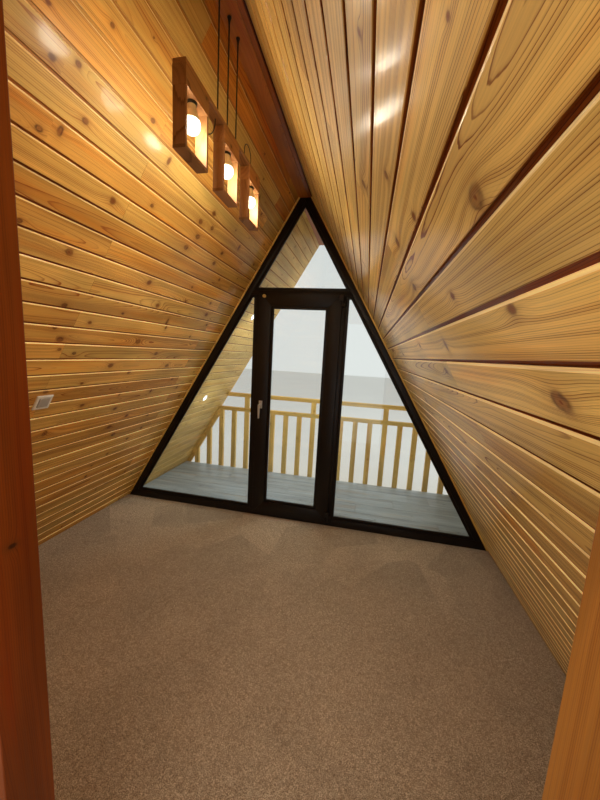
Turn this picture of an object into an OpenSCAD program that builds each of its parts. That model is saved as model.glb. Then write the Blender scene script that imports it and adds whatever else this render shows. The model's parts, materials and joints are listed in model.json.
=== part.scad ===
// Upper storey of an A-frame cabin, from its floor joists up to the ridge.
// Two roof slopes lined with pine close in one room, a landing behind it and a covered balcony.
// +Y points out over the balcony. The origin is under the joists, at the middle of the length.
// All shapes are drawn from the carpet's top and the gable frame's room face, then put in place.

/* [Room] */
// Half the width of the room between its two linings, at the carpet
room_half_w = 1775; // [1500:25:2200]
// Height above the carpet at which the two linings would meet
apex_h = 3000; // [2800:25:3600]
// How far the flat strip of ceiling lies below that meeting line
ridge_strip_drop = 100; // [60:5:140]
// Length of the room from the partition to the gable frame
room_l = 2400; // [2200:50:4000]
// Length of the landing behind the partition
landing_l = 610; // [400:10:1200]
// Thickness of the lining boards
lining_t = 14; // [10:1:20]
// Clearance between the linings and the pieces that stand against them
seat_gap = 0.3; // [0.2:0.1:0.5]

/* [Floor] */
// Height of a floor joist
joist_h = 195; // [145:5:245]
// Clearance between a joist's end and the roof boards
joist_gap = 3; // [2:0.5:6]
// Thickness of the floor boards
floor_board_t = 22; // [18:1:32]
// Thickness of the carpet, and of the balcony's tiles
floor_finish_t = 10; // [6:1:15]

/* [Roof] */
// Thickness of a rafter and of a joist, along the building
rafter_t = 45; // [36:1:60]
// Depth of a rafter, square to the slope
rafter_d = 145; // [120:5:220]
// Number of rafters in a slope
rafter_count = 8; // [6:1:10]
// Thickness of the boards that close the roof
roof_board_t = 22; // [15:1:28]
// Thickness of the roof's metal sheet
sheet_t = 3; // [2:0.5:5]
// Height of a standing seam above the sheet
seam_h = 25; // [15:1:35]
// Thickness of a standing seam
seam_t = 8; // [6:1:12]
// Number of standing seams in a slope
seam_count = 9; // [5:1:14]
// Width of one side of the ridge cap, measured level
ridge_cap_w = 90; // [60:5:140]
// Thickness of the barge boards
barge_t = 22; // [18:1:32]

/* [Gable frame] */
// Depth of the gable's frame, along the building
frame_d = 75; // [60:1:90]
// Face width of a sloping bar
raker_w = 63; // [50:1:80]
// Height of the door's threshold above the carpet
sill_h = 50; // [40:1:65]
// Height of the bar under a side light above the carpet
side_sill_h = 68; // [66:1:90]
// Height of the transom's underside above the carpet
transom_h = 2100; // [1980:5:2140]
// Face height of the transom
transom_t = 41; // [36:1:60]
// Width between the outer faces of the two posts
posts_w = 810; // [780:5:900]
// Face width of a post
post_w = 50; // [40:1:60]
// Thickness of a double glazed pane
pane_t = 24; // [20:1:32]
// Distance from the frame's room face to the pane
pane_in = 25; // [20:1:35]
// Face width of a glazing bead
bead_w = 25; // [18:1:30]
// Distance from the frame's room face to the bead
bead_in = 8; // [5:1:15]
// Width and thickness of the trim strip along the frame's edge
trim_t = 12; // [8:1:18]

/* [Balcony door] */
// How far the sash laps over the frame on the room side
sash_lap = 15; // [10:1:20]
// Thickness of the sash in front of the frame
sash_proud = 18; // [15:1:22]
// Thickness of the sash inside the frame
sash_in_d = 57; // [50:1:60]
// Clearance of the sash inside the frame
sash_gap = 5; // [5:1:8]
// Face width of a stile or rail
stile_w = 112; // [95:1:125]
// Distance of the hinge's axis from the sash's edge
hinge_out = 10; // [9.5:0.5:14]
// Distance of the hinge's axis from the sash's room face
hinge_off = 6; // [5:0.5:9]
// Radius of a hinge knuckle
knuckle_r = 9; // [8:0.5:9]
// Radius of a hinge pin
pin_r = 4; // [3:0.25:5]
// Radial clearance of a hinge pin
pin_gap = 0.08; // [0.05:0.01:0.1]
// Height of one knuckle
knuckle_h = 48; // [40:1:60]
// Clearance between two knuckles
knuckle_gap = 0.5; // [0.3:0.1:1]
// Distance of a hinge from the end of the sash
hinge_end = 6; // [2:1:40]
// Width of a hinge's leaf on the sash
leaf_w = 24; // [16:1:32]

/* [Door handle] */
// Height of the handle's axis above the carpet
handle_h = 1105; // [950:5:1200]
// Distance of the handle's axis from the sash's edge
handle_in = 48; // [40:1:60]
// Width of the handle's plate
rose_w = 32; // [28:1:40]
// Height of the handle's plate
rose_h = 72; // [60:1:90]
// Thickness of the handle's plate
rose_t = 10; // [6:1:14]
// Radius of the handle's neck
neck_r = 8; // [6:0.5:10]
// Distance from the plate to the lever
neck_l = 34; // [28:1:45]
// Length of the lever from its axis
lever_l = 125; // [100:5:140]
// Radius of the lever's broad end
lever_r = 10; // [8:0.5:12]
// Radius of the lever's narrow end
lever_tip_r = 7; // [5:0.5:8]
// Thickness of the lever
lever_t = 12; // [9:1:16]
// Clearance between the neck and the plate
neck_gap = 0.3; // [0.2:0.1:0.5]
// Radius of the wooden peg near the sash's top corner
peg_r = 15; // [10:1:20]
// Length of the wooden peg
peg_l = 20; // [12:1:30]

/* [Balcony] */
// Depth of the balcony from the gable frame to the end joist's outer face
balcony_d = 1070; // [900:10:1400]
// Height of the top rail's top above the tiles
rail_h = 1034; // [950:2:1150]
// Height of the middle rail's top above the tiles
mid_rail_h = 838; // [750:2:900]
// Thickness of a rail
rail_t = 51; // [40:1:60]
// Depth of the rails and uprights, along the building
rail_d = 45; // [36:1:45]
// Width of an upright
upright_w = 60; // [45:1:70]
// Distance between the middles of two uprights
upright_pitch = 180; // [150:2:184]
// Number of uprights on each side of the middle one
uprights_side = 9; // [8:1:9]
// One upright out of this many is carried on above the middle rail as a short post
post_every = 5; // [3:1:6]
// How far the uprights reach down below the tiles
upright_drop = 180; // [100:5:200]

/* [Partition] */
// Thickness of the partition
partition_t = 90; // [70:5:140]
// Distance of the doorway's left edge from the middle plane
doorway_left = 35; // [0:5:80]
// Clear width of the doorway
doorway_w = 890; // [760:10:900]
// Clear height of the doorway
doorway_h = 2120; // [2000:10:2200]
// Thickness of the doorway's lining boards
jamb_t = 30; // [20:1:40]

/* [Lamp] */
// Distance of the lamp's middle from the gable frame
lamp_from_gable = 1483; // [1200:1:1800]
// Distance of the lamp's middle plane from the ridge's
lamp_shift = 27; // [0:1:30]
// Distance from the ceiling strip down to the lamp's top
lamp_drop = 419; // [300:1:500]
// Length of the lamp
lamp_l = 702; // [600:2:900]
// Width of the lamp's strip and frames
lamp_w = 46; // [35:1:60]
// Height of the lamp's top strip
lamp_strip_h = 14; // [10:1:20]
// Height of a block under the strip
lamp_block_h = 61; // [50:1:75]
// How far a block stands out beyond the strip on each side
block_out = 1.5; // [1:0.5:3]
// Number of blocks, each with its frame
lamp_count = 3; // [2:1:3]
// Outer width of one frame
lamp_frame_w = 150; // [130:2:180]
// Height of one frame below its block
lamp_frame_h = 180; // [160:5:220]
// Thickness of a frame's boards
lamp_board_t = 11; // [8:1:16]
// Radius of a cord
cord_r = 3; // [2:0.5:4]
// Distance between two cords
cord_pitch = 88; // [60:2:120]
// Radius of a ceiling hook
hook_r = 8; // [6:1:12]
// Height of a ceiling hook
hook_h = 24; // [16:1:35]
// Radius of the cable that links the frames
cable_r = 2; // [1.5:0.5:3]
// Radius of the cable's hanging bend beside the first frame
bend_r = 95; // [60:1:100]
// Radius of the cable's loop above the strip
loop_r = 42; // [30:1:50]
// Height of the loop's straight legs
loop_leg = 48; // [20:1:60]
// Distance of the loop's middle from the last frame's near end
loop_in = 32; // [20:1:60]
// Radius of a bulb holder
holder_r = 18; // [16:1:20]
// Height of a bulb holder
holder_h = 8; // [5:1:20]
// Radius of a bulb's neck in its holder
bulb_neck_r = 14; // [12:0.5:15]
// Radius of a bulb
bulb_r = 30; // [22:1:34]
// Distance from a block's underside to the middle of its bulb
bulb_drop = 68; // [60:1:90]

/* [Fittings] */
// Radius of a balcony spotlight
spot_r = 42; // [35:1:50]
// How far a spotlight stands out from the boards
spot_out = 4; // [2:1:8]
// Distance of the spotlights from the gable frame's room face
spot_y = 503; // [300:5:800]
// Height of the lower spotlights
spot_low_h = 1033; // [900:5:1200]
// Height of the upper spotlights
spot_high_h = 1957; // [1700:5:2100]
// Width of the wall plate
plate_w = 86; // [80:1:90]
// Thickness of the wall plate
plate_t = 9; // [6:1:14]
// Width of the raised square on the wall plate
dial_w = 58; // [45:1:66]
// Thickness of the raised square
dial_t = 4; // [2:1:6]
// Height of the wall plate's middle
plate_h = 1270; // [1100:5:1500]
// Distance of the wall plate's middle from the gable frame
plate_from_gable = 1504; // [1300:2:1800]

/* [Hidden] */

// Smoothness of round parts
round_fn = 48;

// Levels, measured from the carpet's top
strip_z = apex_h - ridge_strip_drop;
floor_z = -floor_finish_t;
joist_top_z = floor_z - floor_board_t;
base_z = joist_top_z - joist_h;

// Stations along the building, measured from the gable frame's room face
partition_y = -room_l - partition_t;
back_y = partition_y - landing_l;
deck_end_y = frame_d + balcony_d;
roof_end_y = deck_end_y + rafter_t;
front_y = roof_end_y + barge_t;
lining_end_y = frame_d / 2;

// Layers of the roof, measured square to the slope from the lining's face
rafter_out = lining_t + rafter_d;
boarding_out = rafter_out + roof_board_t;
sheet_out = boarding_out + sheet_t;
seam_out = sheet_out + seam_h;

slope_a = atan(apex_h / room_half_w);
far = 2 * apex_h;
// How far a cutting shape reaches past the face it cuts
cut_over = sheet_t;

// The door's sash and its hinge axis
opening_half_w = posts_w / 2 - post_w;
sash_half_w = opening_half_w + sash_lap;
sash_low_z = sill_h - sash_lap;
sash_high_z = transom_h + sash_lap;
hinge_x = sash_half_w + hinge_out;
hinge_y = -sash_proud - hinge_off;
handle_x = -sash_half_w + handle_in;

// Half the distance from the middle plane to the slope plane that lies d outside the lining's face
function slope_x(z, d) = room_half_w * (1 - z / apex_h) + d / sin(slope_a);
// Height of that plane at a distance x from the middle
function slope_z(x, d) = apex_h * (1 - x / room_half_w) + d / cos(slope_a);
// Near side of rafter number i
function rafter_y(i) = back_y + i * (roof_end_y - rafter_t - back_y) / (rafter_count - 1);
// A joist lies beside each rafter, inside the length of the floor
function joist_y(i) = i == 0 ? rafter_y(i) + rafter_t : rafter_y(i) - rafter_t;

// Moves what is drawn from the carpet and the gable to the part's own origin
module place() {
    translate([0, -(back_y + front_y) / 2, -base_z]) children();
}

// Extrudes a drawing made across the building from station y0 to station y1
module along(y0, y1) {
    translate([0, y1, 0]) rotate([90, 0, 0]) linear_extrude(y1 - y0) children();
}

// Draws the children on the side that is asked for: 1 is right, -1 is left
module on_side(side) {
    if (side > 0) children();
    else mirror([1, 0, 0]) children();
}

// A rectangle from corner to corner
module rect(x0, z0, x1, z1) {
    translate([x0, z0]) square([x1 - x0, z1 - z0]);
}

// A layer of the right slope from depth d0 to d1, cut level at z0 and z1
module slope_band(d0, d1, z0, z1) {
    polygon([[slope_x(z0, d0), z0], [slope_x(z0, d1), z0],
        [slope_x(z1, d1), z1], [slope_x(z1, d0), z1]]);
}

// A layer of the right slope from level z0 up to an upright cut at x1
module slope_leg(d0, d1, z0, x1) {
    polygon([[slope_x(z0, d0), z0], [slope_x(z0, d1), z0],
        [x1, slope_z(x1, d1)], [x1, slope_z(x1, d0)]]);
}

// The section between the two slope planes at depth d, from z0 up to the ceiling strip
module between_slopes(z0, d) {
    intersection() {
        polygon([[-slope_x(z0, d), z0], [slope_x(z0, d), z0], [0, slope_z(0, d)]]);
        rect(-far, z0, far, strip_z);
    }
}

// Floor

module floor_joists() color("burlywood") place() {
    end_d = rafter_out - joist_gap;
    for (i = [0 : rafter_count - 1])
        along(joist_y(i), joist_y(i) + rafter_t)
            polygon([[-slope_x(base_z, end_d), base_z], [slope_x(base_z, end_d), base_z],
                [slope_x(joist_top_z, end_d), joist_top_z],
                [-slope_x(joist_top_z, end_d), joist_top_z]]);
}

module floor_boards() color("peru") place() {
    along(back_y, deck_end_y)
        polygon([[-slope_x(joist_top_z, lining_t), joist_top_z],
            [slope_x(joist_top_z, lining_t), joist_top_z],
            [slope_x(floor_z, lining_t), floor_z], [-slope_x(floor_z, lining_t), floor_z]]);
}

// A floor finish between the linings
module finish(y0, y1) {
    along(y0, y1)
        polygon([[-slope_x(floor_z, -seat_gap), floor_z], [slope_x(floor_z, -seat_gap), floor_z],
            [slope_x(0, -seat_gap), 0], [-slope_x(0, -seat_gap), 0]]);
}

module carpet() color("tan") place() {
    difference() {
        finish(back_y, 0);
        along(partition_y, -room_l) {
            rect(-far, floor_z - cut_over, doorway_left, cut_over);
            rect(doorway_left + doorway_w, floor_z - cut_over, far, cut_over);
        }
    }
}

module balcony_tiles() color("darkgray") place() finish(frame_d, deck_end_y);

// Roof

module rafters(side) {
    place() on_side(side)
        for (i = [0 : rafter_count - 1])
            along(rafter_y(i), rafter_y(i) + rafter_t)
                slope_leg(lining_t, rafter_out, base_z, rafter_t / 2);
}

module left_rafters() color("burlywood") rafters(-1);

module right_rafters() color("burlywood") rafters(1);

module ridge_board() color("burlywood") place() {
    along(back_y, roof_end_y)
        rect(-rafter_t / 2, slope_z(rafter_t / 2, lining_t),
            rafter_t / 2, slope_z(rafter_t / 2, rafter_out));
}

module roof_boarding(side) {
    place() on_side(side)
        along(back_y, roof_end_y) slope_leg(rafter_out, boarding_out, base_z, 0);
}

module left_roof_boarding() color("peru") roof_boarding(-1);

module right_roof_boarding() color("peru") roof_boarding(1);

// A sheet with standing seams from the eaves to just below the ridge
module roofing(side) {
    seam_pitch = (roof_end_y - back_y - seam_t) / (seam_count - 1);
    place() on_side(side) {
        along(back_y, roof_end_y) slope_leg(boarding_out, sheet_out, base_z, 0);
        for (i = [0 : seam_count - 1])
            along(back_y + i * seam_pitch, back_y + i * seam_pitch + seam_t)
                slope_leg(boarding_out, seam_out, base_z, seam_h);
    }
}

module left_roofing() color("#4a3426") roofing(-1);

module right_roofing() color("#4a3426") roofing(1);

module ridge_cap() color("#3f2c20") place() {
    along(back_y, roof_end_y)
        for (side = [-1, 1])
            on_side(side)
                polygon([[0, slope_z(0, seam_out)], [ridge_cap_w, slope_z(ridge_cap_w, seam_out)],
                    [ridge_cap_w, slope_z(ridge_cap_w, seam_out + sheet_t)],
                    [0, slope_z(0, seam_out + sheet_t)]]);
}

module barge_board(side) {
    place() on_side(side)
        along(roof_end_y, front_y) slope_leg(0, sheet_out, base_z, 0);
}

module left_barge_board() color("#c8923f") barge_board(-1);

module right_barge_board() color("#c8923f") barge_board(1);

// Linings

module lining(side, y0, y1) {
    place() on_side(side)
        along(y0, y1) slope_band(0, lining_t, floor_z, strip_z + lining_t);
}

module left_lining() color("#c88a3c") lining(-1, back_y, lining_end_y);

module right_lining() color("#c88a3c") lining(1, back_y, lining_end_y);

module left_soffit() color("#d9bc74") lining(-1, lining_end_y, roof_end_y);

module right_soffit() color("#d9bc74") lining(1, lining_end_y, roof_end_y);

module ridge_ceiling_strip() color("#a9702c") place() {
    low_half_w = slope_x(strip_z, -seat_gap);
    high_half_w = slope_x(strip_z + lining_t, -seat_gap);
    along(back_y, roof_end_y)
        polygon([[-low_half_w, strip_z], [low_half_w, strip_z],
            [high_half_w, strip_z + lining_t], [-high_half_w, strip_z + lining_t]]);
}

// Lies on the lining's face of a slope at height z and station y, with +Z pointing into the room
module on_slope(side, y, z) {
    on_side(side) translate([slope_x(z, 0), y, z]) rotate([0, -90 - (90 - slope_a), 0]) children();
}

module soffit_spots() color("white") place() {
    for (side = [-1, 1])
        for (z = [spot_low_h, spot_high_h])
            on_slope(side, spot_y, z) cylinder(h = spot_out, r = spot_r, $fn = round_fn);
}

module wall_plate() color("whitesmoke") place() {
    on_slope(-1, -plate_from_gable, plate_h) {
        translate([-plate_w / 2, -plate_w / 2, 0]) cube([plate_w, plate_w, plate_t]);
        translate([-dial_w / 2, -dial_w / 2, 0]) cube([dial_w, dial_w, plate_t + dial_t]);
    }
}

// Glazed gable

// The hole in the frame for the top light, less an inset all round
module top_light_hole(inset) {
    intersection() {
        between_slopes(transom_h + transom_t + inset, -raker_w - inset);
        rect(-far, transom_h + transom_t + inset, far, far);
    }
}

// The hole in the frame for the right side light, less an inset all round
module side_light_hole(inset) {
    intersection() {
        between_slopes(side_sill_h + inset, -raker_w - inset);
        rect(posts_w / 2 + inset, side_sill_h + inset, far, transom_h - inset);
    }
}

module gable_sill() color("#2a211c") place() {
    along(0, frame_d)
        intersection() {
            between_slopes(floor_z, -seat_gap);
            union() {
                rect(-far, floor_z, far, sill_h);
                for (side = [-1, 1])
                    on_side(side) rect(posts_w / 2, floor_z, far, side_sill_h);
            }
        }
}

module raker(side) {
    place() on_side(side)
        along(0, frame_d)
            intersection() {
                slope_leg(-raker_w, -seat_gap, side_sill_h, 0);
                rect(0, side_sill_h, far, strip_z);
            }
}

module gable_left_raker() color("#2a211c") raker(-1);

module gable_right_raker() color("#2a211c") raker(1);

module gable_transom() color("#2a211c") place() {
    along(0, frame_d)
        intersection() {
            between_slopes(transom_h, -raker_w);
            rect(-far, transom_h, far, transom_h + transom_t);
        }
}

module gable_posts() color("#2a211c") place() {
    for (side = [-1, 1])
        on_side(side)
            along(0, frame_d)
                intersection() {
                    between_slopes(sill_h, -raker_w);
                    rect(posts_w / 2 - post_w, sill_h, posts_w / 2, transom_h);
                }
}

module gable_beads() color("#2a211c") place() {
    along(bead_in, pane_in) {
        difference() {
            top_light_hole(0);
            top_light_hole(bead_w);
        }
        for (side = [-1, 1])
            on_side(side)
                difference() {
                    side_light_hole(0);
                    side_light_hole(bead_w);
                }
    }
}

module gable_trim() color("#d8a352") place() {
    for (side = [-1, 1])
        on_side(side)
            along(-trim_t, 0) slope_band(-trim_t, -seat_gap, 0, strip_z);
}

module top_light_glass() color("lightblue", 0.4) place() {
    along(pane_in, pane_in + pane_t) top_light_hole(0);
}

module side_light_glass() color("lightblue", 0.4) place() {
    along(pane_in, pane_in + pane_t)
        for (side = [-1, 1])
            on_side(side) side_light_hole(0);
}

// Balcony door

// A mitred bar of the sash: kind 0 is a stile, kind 1 is a rail
module sash_face(kind, low) {
    x0 = sash_half_w;
    x1 = sash_half_w - stile_w;
    z0 = low ? sash_low_z : sash_high_z;
    z1 = low ? sash_low_z + stile_w : sash_high_z - stile_w;
    if (kind == 0)
        polygon([[x0, sash_low_z], [x0, sash_high_z],
            [x1, sash_high_z - stile_w], [x1, sash_low_z + stile_w]]);
    else
        polygon([[-x0, z0], [x0, z0], [x1, z1], [-x1, z1]]);
}

// The bar's lap in front of the frame, and its body inside the frame
module sash_bar(kind, low) {
    along(-sash_proud, 0) sash_face(kind, low);
    along(0, sash_in_d)
        intersection() {
            sash_face(kind, low);
            rect(-opening_half_w + sash_gap, sill_h + sash_gap,
                opening_half_w - sash_gap, transom_h - sash_gap);
        }
}

module door_stiles() color("#2f2520") place() {
    for (side = [-1, 1])
        on_side(side) sash_bar(0, true);
}

module door_rails() color("#2f2520") place() {
    sash_bar(1, true);
    sash_bar(1, false);
}

// The hole inside the sash, less an inset all round
module sash_hole(inset) {
    hole_half_w = sash_half_w - stile_w - inset;
    rect(-hole_half_w, sash_low_z + stile_w + inset, hole_half_w, sash_high_z - stile_w - inset);
}

module door_beads() color("#2a211c") place() {
    along(bead_in - sash_proud, pane_in - sash_proud)
        difference() {
            sash_hole(0);
            sash_hole(bead_w);
        }
}

module door_glass() color("lightblue", 0.4) place() {
    along(pane_in - sash_proud, pane_in - sash_proud + pane_t) sash_hole(0);
}

// Lower ends of the two hinges
hinge_levels = [sash_low_z + hinge_end,
    sash_high_z - hinge_end - 2 * knuckle_h - knuckle_gap];

module hinge_brackets() color("#1d1815") place() {
    for (z = hinge_levels) {
        translate([hinge_x, hinge_y, z]) {
            cylinder(h = knuckle_h, r = knuckle_r, $fn = round_fn);
            cylinder(h = 2 * knuckle_h, r = pin_r, $fn = round_fn);
        }
        translate([hinge_x, hinge_y, z]) cube([2 * knuckle_r, -hinge_y, knuckle_h]);
    }
}

module door_hinges() color("#1d1815") place() {
    for (z = hinge_levels)
        translate([hinge_x, hinge_y, z + knuckle_h + knuckle_gap])
            difference() {
                union() {
                    cylinder(h = knuckle_h, r = knuckle_r, $fn = round_fn);
                    translate([-hinge_out - leaf_w, -hinge_off, 0])
                        cube([hinge_out + leaf_w, 2 * hinge_off, knuckle_h]);
                }
                translate([0, 0, -cut_over])
                    cylinder(h = knuckle_h + 2 * cut_over, r = pin_r + pin_gap, $fn = round_fn);
            }
}

module door_peg() color("#d8a866") place() {
    translate([-sash_half_w + handle_in, -sash_proud, sash_high_z - 2 * peg_r])
        rotate([90, 0, 0]) cylinder(h = peg_l, r = peg_r, $fn = round_fn);
}

module handle_rose() color("silver") place() {
    translate([handle_x - rose_w / 2, -sash_proud - rose_t, handle_h - rose_h / 2])
        cube([rose_w, rose_t, rose_h]);
}

module door_handle() color("silver") place() {
    neck_y = -sash_proud - rose_t - neck_gap;
    translate([handle_x, neck_y, handle_h]) rotate([90, 0, 0]) {
        cylinder(h = neck_l + lever_t, r = neck_r, $fn = round_fn);
        translate([0, 0, neck_l])
            linear_extrude(lever_t)
                hull() {
                    circle(r = lever_r, $fn = round_fn);
                    translate([0, lever_tip_r - lever_l]) circle(r = lever_tip_r, $fn = round_fn);
                }
    }
}

// Balcony railing

mid_rail_low_z = mid_rail_h - rail_t;
top_rail_low_z = rail_h - rail_t;
upright_low_z = -upright_drop;
rail_end_y = deck_end_y + rail_d;

// True for an upright that is carried on above the middle rail
function is_post(i) = abs(i) % post_every == 0;

// The face of upright i from level z0 to z1
module upright_face(i, z0, z1) {
    rect(i * upright_pitch - upright_w / 2, z0, i * upright_pitch + upright_w / 2, z1);
}

module railing_rails() color("#dcb765") place() {
    along(deck_end_y, rail_end_y)
        for (z = [mid_rail_low_z, top_rail_low_z])
            intersection() {
                between_slopes(z, -seat_gap);
                rect(-far, z, far, z + rail_t);
            }
}

module railing_uprights() color("#dcb765") place() {
    for (i = [-uprights_side : uprights_side])
        along(deck_end_y, rail_end_y) {
            intersection() {
                between_slopes(upright_low_z, -rail_t);
                upright_face(i, upright_low_z, mid_rail_low_z);
            }
            if (is_post(i))
                intersection() {
                    between_slopes(mid_rail_h, -seat_gap);
                    upright_face(i, mid_rail_h, top_rail_low_z);
                }
        }
}

module railing_end_bars() color("#dcb765") place() {
    for (side = [-1, 1])
        on_side(side)
            along(deck_end_y, rail_end_y)
                slope_band(-rail_t, -seat_gap, upright_low_z, mid_rail_low_z);
}

// Partition and doorway

rough_left = doorway_left - jamb_t;
rough_right = doorway_left + doorway_w + jamb_t;

module partition_piece(x0, z0, x1, z1) {
    place() along(partition_y, -room_l)
        intersection() {
            between_slopes(floor_z, -seat_gap);
            rect(x0, z0, x1, z1);
        }
}

module partition_left() color("#c88a3c") partition_piece(-far, floor_z, rough_left, far);

module partition_header() color("#c88a3c")
    partition_piece(rough_left, doorway_h + jamb_t, rough_right, far);

module partition_right() color("#c88a3c") partition_piece(rough_right, floor_z, far, far);

module doorway_jambs() color("#8a5428") {
    partition_piece(rough_left, floor_z, doorway_left, doorway_h);
    partition_piece(doorway_left + doorway_w, floor_z, rough_right, doorway_h);
}

module doorway_head() color("#8a5428")
    partition_piece(rough_left, doorway_h, rough_right, doorway_h + jamb_t);

// Hanging lamp

lamp_top_z = strip_z - lamp_drop;
lamp_strip_z = lamp_top_z - lamp_strip_h;
lamp_block_z = lamp_strip_z - lamp_block_h;
lamp_near_y = -lamp_from_gable - lamp_l / 2;
lamp_pitch = (lamp_l - lamp_frame_w) / (lamp_count - 1);

// Repeats its children at the middle of each frame, at the underside of its block
module at_frames() {
    for (i = [0 : lamp_count - 1])
        translate([-lamp_shift, lamp_near_y + lamp_frame_w / 2 + i * lamp_pitch, lamp_block_z])
            children();
}

module lamp_strip() color("#a06a35") place() {
    translate([-lamp_shift - lamp_w / 2, lamp_near_y, lamp_strip_z])
        cube([lamp_w, lamp_l, lamp_strip_h]);
}

module lamp_blocks() color("#8a5a2c") place() {
    at_frames()
        translate([-lamp_w / 2 - block_out, -lamp_frame_w / 2, 0])
            cube([lamp_w + 2 * block_out, lamp_frame_w, lamp_block_h]);
}

module lamp_frames() color("#a06a35") place() {
    at_frames()
        difference() {
            translate([-lamp_w / 2, -lamp_frame_w / 2, -lamp_frame_h])
                cube([lamp_w, lamp_frame_w, lamp_frame_h]);
            translate([-lamp_w, -lamp_frame_w / 2 + lamp_board_t, -lamp_frame_h + lamp_board_t])
                cube([2 * lamp_w, lamp_frame_w - 2 * lamp_board_t, lamp_frame_h]);
        }
}

module lamp_holders() color("#1c1a18") place() {
    at_frames() translate([0, 0, -holder_h]) cylinder(h = holder_h, r = holder_r, $fn = round_fn);
}

module lamp_bulbs() color("#fff2cf") place() {
    at_frames()
        translate([0, 0, -bulb_drop]) {
            sphere(r = bulb_r, $fn = round_fn);
            cylinder(h = bulb_drop - holder_h, r1 = bulb_r, r2 = bulb_neck_r, $fn = round_fn);
        }
}

// An arc of cable in the lamp's middle plane, from the direction of +Y upwards
module cable_arc(radius, angle) {
    rotate([90, 0, 90])
        rotate_extrude(angle = angle, $fn = round_fn)
            translate([radius, 0]) circle(r = cable_r, $fn = round_fn);
}

// The cable's bend down from the strip into the first frame
module cable_bend() {
    translate([-lamp_shift, lamp_near_y + lamp_frame_w, lamp_strip_z])
        rotate([-90, 0, 0]) cable_arc(bend_r, 90);
}

// The cable's loop above the strip at the last frame
module cable_loop() {
    translate([-lamp_shift, lamp_near_y + lamp_l - lamp_frame_w + loop_in, lamp_top_z]) {
        for (y = [-loop_r, loop_r])
            translate([0, y, 0]) cylinder(h = loop_leg, r = cable_r, $fn = round_fn);
        translate([0, 0, loop_leg]) cable_arc(loop_r, 180);
    }
}

module lamp_cords() color("#1c1a18") place() {
    for (i = [-1 : 1])
        translate([-lamp_shift, -lamp_from_gable + i * cord_pitch, lamp_top_z]) {
            cylinder(h = lamp_drop, r = cord_r, $fn = round_fn);
            translate([0, 0, lamp_drop - hook_h])
                cylinder(h = hook_h, r1 = cord_r, r2 = hook_r, $fn = round_fn);
        }
    cable_bend();
    cable_loop();
}

floor_joists();
floor_boards();
carpet();
balcony_tiles();
left_rafters();
right_rafters();
ridge_board();
left_roof_boarding();
right_roof_boarding();
left_roofing();
right_roofing();
ridge_cap();
left_lining();
right_lining();
ridge_ceiling_strip();
left_soffit();
right_soffit();
soffit_spots();
left_barge_board();
right_barge_board();
gable_sill();
gable_left_raker();
gable_right_raker();
gable_transom();
gable_posts();
gable_beads();
gable_trim();
top_light_glass();
side_light_glass();
hinge_brackets();
railing_rails();
railing_uprights();
railing_end_bars();
partition_left();
partition_header();
partition_right();
doorway_jambs();
doorway_head();
lamp_strip();
lamp_blocks();
lamp_frames();
lamp_holders();
lamp_bulbs();
lamp_cords();
wall_plate();
door_stiles();
door_rails();
door_beads();
door_glass();
door_hinges();
door_peg();
handle_rose();
door_handle();
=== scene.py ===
import json
import math
import random

import bmesh
import bpy
import numpy as np
from mathutils import Matrix, Vector

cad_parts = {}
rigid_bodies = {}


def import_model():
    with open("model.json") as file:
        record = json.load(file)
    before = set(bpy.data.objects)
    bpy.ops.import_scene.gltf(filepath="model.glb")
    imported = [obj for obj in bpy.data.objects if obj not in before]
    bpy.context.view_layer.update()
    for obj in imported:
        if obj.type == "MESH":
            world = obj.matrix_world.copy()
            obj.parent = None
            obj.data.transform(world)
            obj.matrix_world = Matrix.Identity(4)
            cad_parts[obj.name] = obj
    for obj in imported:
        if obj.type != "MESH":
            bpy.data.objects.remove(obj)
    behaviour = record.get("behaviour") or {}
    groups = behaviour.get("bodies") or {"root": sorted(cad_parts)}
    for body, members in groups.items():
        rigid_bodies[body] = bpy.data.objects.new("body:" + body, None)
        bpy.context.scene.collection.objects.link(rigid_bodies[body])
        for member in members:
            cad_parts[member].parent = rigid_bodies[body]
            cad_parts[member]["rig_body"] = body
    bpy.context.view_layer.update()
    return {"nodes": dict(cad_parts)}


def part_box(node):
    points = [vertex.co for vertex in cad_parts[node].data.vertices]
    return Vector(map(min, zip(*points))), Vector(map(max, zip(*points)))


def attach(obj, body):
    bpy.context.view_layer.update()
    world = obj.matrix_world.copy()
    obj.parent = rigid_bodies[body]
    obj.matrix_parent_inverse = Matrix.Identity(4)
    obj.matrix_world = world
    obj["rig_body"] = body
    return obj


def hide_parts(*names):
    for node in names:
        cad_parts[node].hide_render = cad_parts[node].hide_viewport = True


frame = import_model()

# Place of the gable frame's room face and of the carpet's top in the part's own frame
GABLE_Y = 0.944
CARPET_Z = 0.227

# The room, measured from the middle plane, the gable frame's room face and the carpet's top
HALF_W = 1.775
APEX_Z = 3.0
STRIP_Z = 2.9
SLOPE = math.atan2(APEX_Z, HALF_W)
SIN, COS = math.sin(SLOPE), math.cos(SLOPE)
ROOM_Y = -2.4
PARTITION_Y = -2.49
BACK_Y = -3.1
LINING_END_Y = 0.0375
FRAME_D = 0.075
DECK_END_Y = 1.145
ROOF_END_Y = 1.19
FLOOR_LOW = -0.010
JOIST_TOP = -0.032
DOOR_X0, DOOR_X1, DOOR_TOP = 0.035, 0.925, 2.12
JAMB_T = 0.030

# The lining's boards
PITCH = 0.0933
GAP = 0.0080
GAP_TOP = 0.0075
LINING_T = 0.014
TONGUE_D = 0.0066
EDGE_R = 0.0016
LAP = 0.003
PLAY = 0.0003
SIDES = ((-1, "left"), (1, "right"))
# By side: height of the groove above row 0
GROOVE_Z = {-1: 2.4595, 1: 1.9937}
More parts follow.
